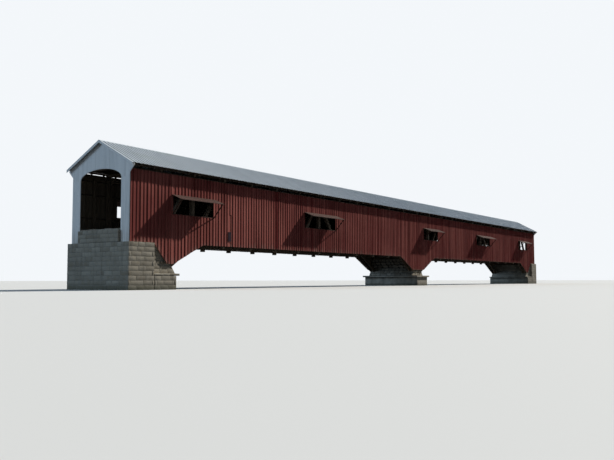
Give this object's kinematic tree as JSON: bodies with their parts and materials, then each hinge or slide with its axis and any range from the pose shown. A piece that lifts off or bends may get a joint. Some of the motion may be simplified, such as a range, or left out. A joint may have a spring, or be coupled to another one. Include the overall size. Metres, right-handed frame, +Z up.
{
  "type": "two-span covered timber bridge (1:10 scale model)",
  "caption": "Long covered timber bridge on arched timber trusses with board siding, hooded windows, ribbed metal roof and boarded portals; 1:10 scale model.",
  "frame": {"origin": "on the ground under the middle of the pier, the centre of the bounding box's bottom face", "axes": "+X along the bridge to its east portal, +Y across it to the north side, +Z up"},
  "size_m": [8.18, 0.726, 0.9571],
  "materials": {
    "truss_timber": "sawn timber, weathered brown",
    "arch_timber": "sawn timber, weathered brown",
    "floor_timber": "sawn timber, dark",
    "deck_planks": "worn planks",
    "roof_timber": "sawn timber",
    "red_boards": "barn-red paint, worn",
    "weathered_boards": "bare boards, weathered grey",
    "white_boards": "white paint",
    "stonework": "rough coursed blocks",
    "pier_concrete": "board-marked concrete",
    "roof_metal": "ribbed galvanised sheet, weathered"
  },
  "bodies": {
    "root": {"bed_timbers": "truss_timber", "lower_chord_south": "truss_timber", "lower_chord_north": "truss_timber", "upper_chord_south": "truss_timber", "upper_chord_north": "truss_timber", "posts_south": "truss_timber", "posts_north": "truss_timber", "braces_south": "truss_timber", "braces_north": "truss_timber", "arches_south_west": "arch_timber", "arches_south_east": "arch_timber", "arches_north_west": "arch_timber", "arches_north_east": "arch_timber", "floor_beams": "floor_timber", "stringers": "floor_timber", "deck": "deck_planks", "runner_planks": "deck_planks", "wheel_guards": "deck_planks", "overhang_posts": "truss_timber", "tie_beams": "truss_timber", "knee_braces": "truss_timber", "upper_laterals": "truss_timber", "rafter_plates": "roof_timber", "rafters": "roof_timber", "ridge_board": "roof_timber", "roof_laths": "roof_timber", "siding_girts": "roof_timber", "siding_south": "red_boards", "siding_north": "red_boards", "skirts_south": "red_boards", "skirts_north": "red_boards", "window_sills": "weathered_boards", "window_hoods": "weathered_boards", "hood_struts": "weathered_boards", "west_portal": "white_boards", "east_portal": "white_boards", "rake_boards": "white_boards", "west_abutment": "stonework", "east_abutment": "stonework", "pier": "pier_concrete", "pier_pedestal": "stonework", "roof_sheet_south": "roof_metal", "roof_sheet_north": "roof_metal", "ridge_cap": "roof_metal"}
  },
  "joints": []
}
